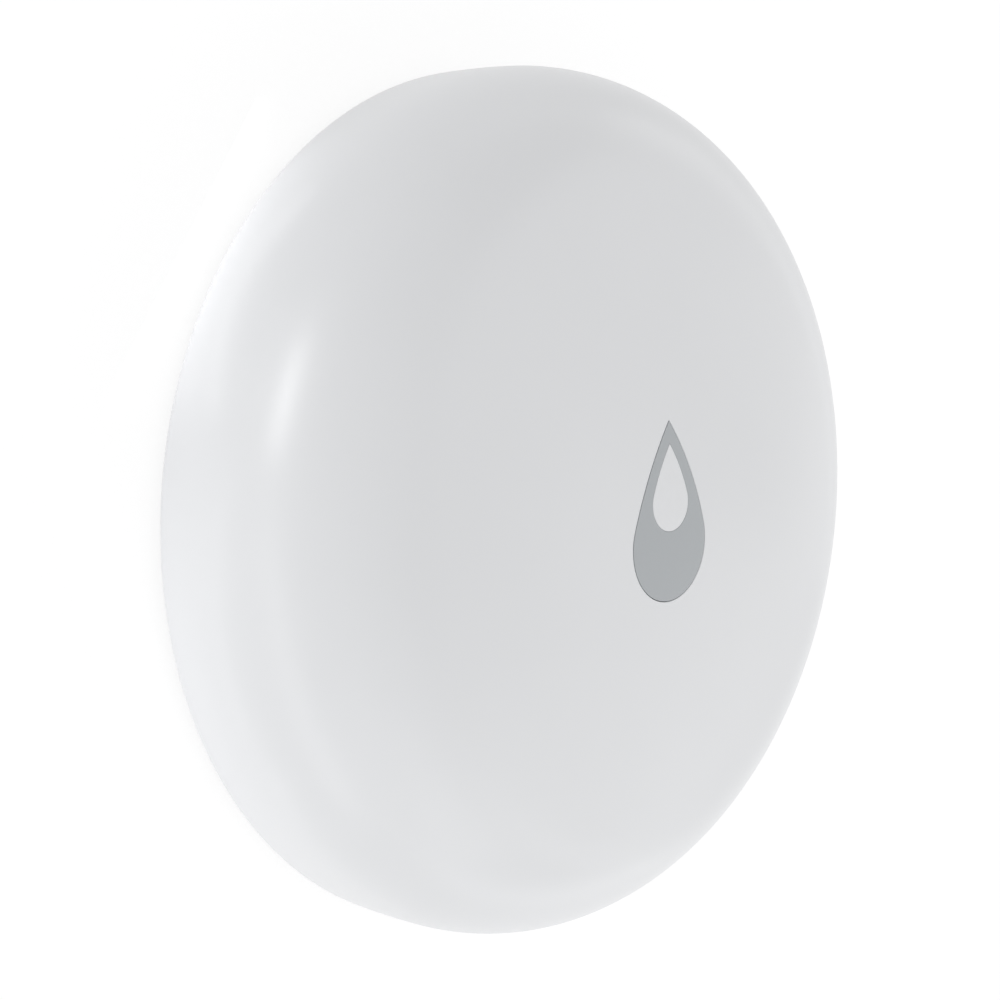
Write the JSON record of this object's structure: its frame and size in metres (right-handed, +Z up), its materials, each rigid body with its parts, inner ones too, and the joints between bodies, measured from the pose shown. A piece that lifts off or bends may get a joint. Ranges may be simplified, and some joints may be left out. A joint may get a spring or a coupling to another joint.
{
  "type": "water leak sensor",
  "caption": "Round domed water leak sensor with a drop-shaped key on top, metal probes underneath and a coin-slot battery cover; it lies flat on the floor.",
  "frame": {"origin": "on the floor, under the middle of the dome", "axes": "+Z up through the top of the dome, +Y towards the drop's tip, +X to the right of the drop"},
  "size_m": [0.05, 0.05, 0.015],
  "materials": {
    "cover_white": "glossy white moulded shell",
    "key_grey": "satin grey moulded key",
    "window_white": "milky translucent window",
    "base_white": "fine-textured white moulding",
    "silicone_clear": "translucent silicone",
    "seal_black": "black rubber ring",
    "foot_grey": "soft grey foot",
    "stainless": "turned stainless steel",
    "zinc_steel": "zinc-plated screw",
    "brass_turned": "turned brass",
    "cell_nickel": "nickel-plated steel",
    "cell_ring": "dark sealing ring",
    "spring_strip": "nickel-plated spring strip",
    "board_green": "solder mask over glass laminate",
    "package_black": "moulded package",
    "crystal_can": "metal lid",
    "antenna_ceramic": "bare ceramic",
    "capacitor_ceramic": "bare ceramic",
    "tantalum_orange": "moulded capacitor",
    "led_lens": "clear lens over phosphor",
    "stem_cream": "moulded stem"
  },
  "bodies": {
    "housing": {"top_cover": "cover_white", "key_membrane": "silicone_clear", "membrane_retainer": "base_white", "base_plate": "base_white", "case_seal": "silicone_clear", "rubber_feet": "foot_grey", "probe_screws": "stainless", "probe_seals": "seal_black", "probe_standoffs": "brass_turned", "coin_cell_can": "cell_nickel", "coin_cell_gasket": "cell_ring", "coin_cell_cap": "cell_nickel", "positive_contact": "spring_strip", "negative_contact": "spring_strip", "circuit_board": "board_green", "board_screws": "zinc_steel", "radio_chip": "package_black", "crystal": "crystal_can", "chip_antenna": "antenna_ceramic", "bulk_capacitor": "tantalum_orange", "chip_capacitors": "capacitor_ceramic", "chip_resistors": "package_black", "status_led": "led_lens", "switch_body": "package_black", "switch_plate": "crystal_can"},
    "drop_button": {"drop_key": "key_grey", "light_window": "window_white", "switch_stem": "stem_cream"},
    "battery_door": {"battery_cover": "base_white", "battery_cover_seal": "silicone_clear"}
  },
  "joints": [
    {"name": "button_press", "type": "slide", "parent": "housing", "child": "drop_button", "axis": [0, 0, -1], "range_m": [0, 0.00025], "stiffness_N_per_m": 5000, "deforming": ["key_membrane"]},
    {"name": "battery_cover_twist", "type": "hinge", "parent": "housing", "child": "battery_door", "pos_m": [0, 0, 0.002], "axis": [0, 0, -1], "range_deg": [0, 40]}
  ]
}
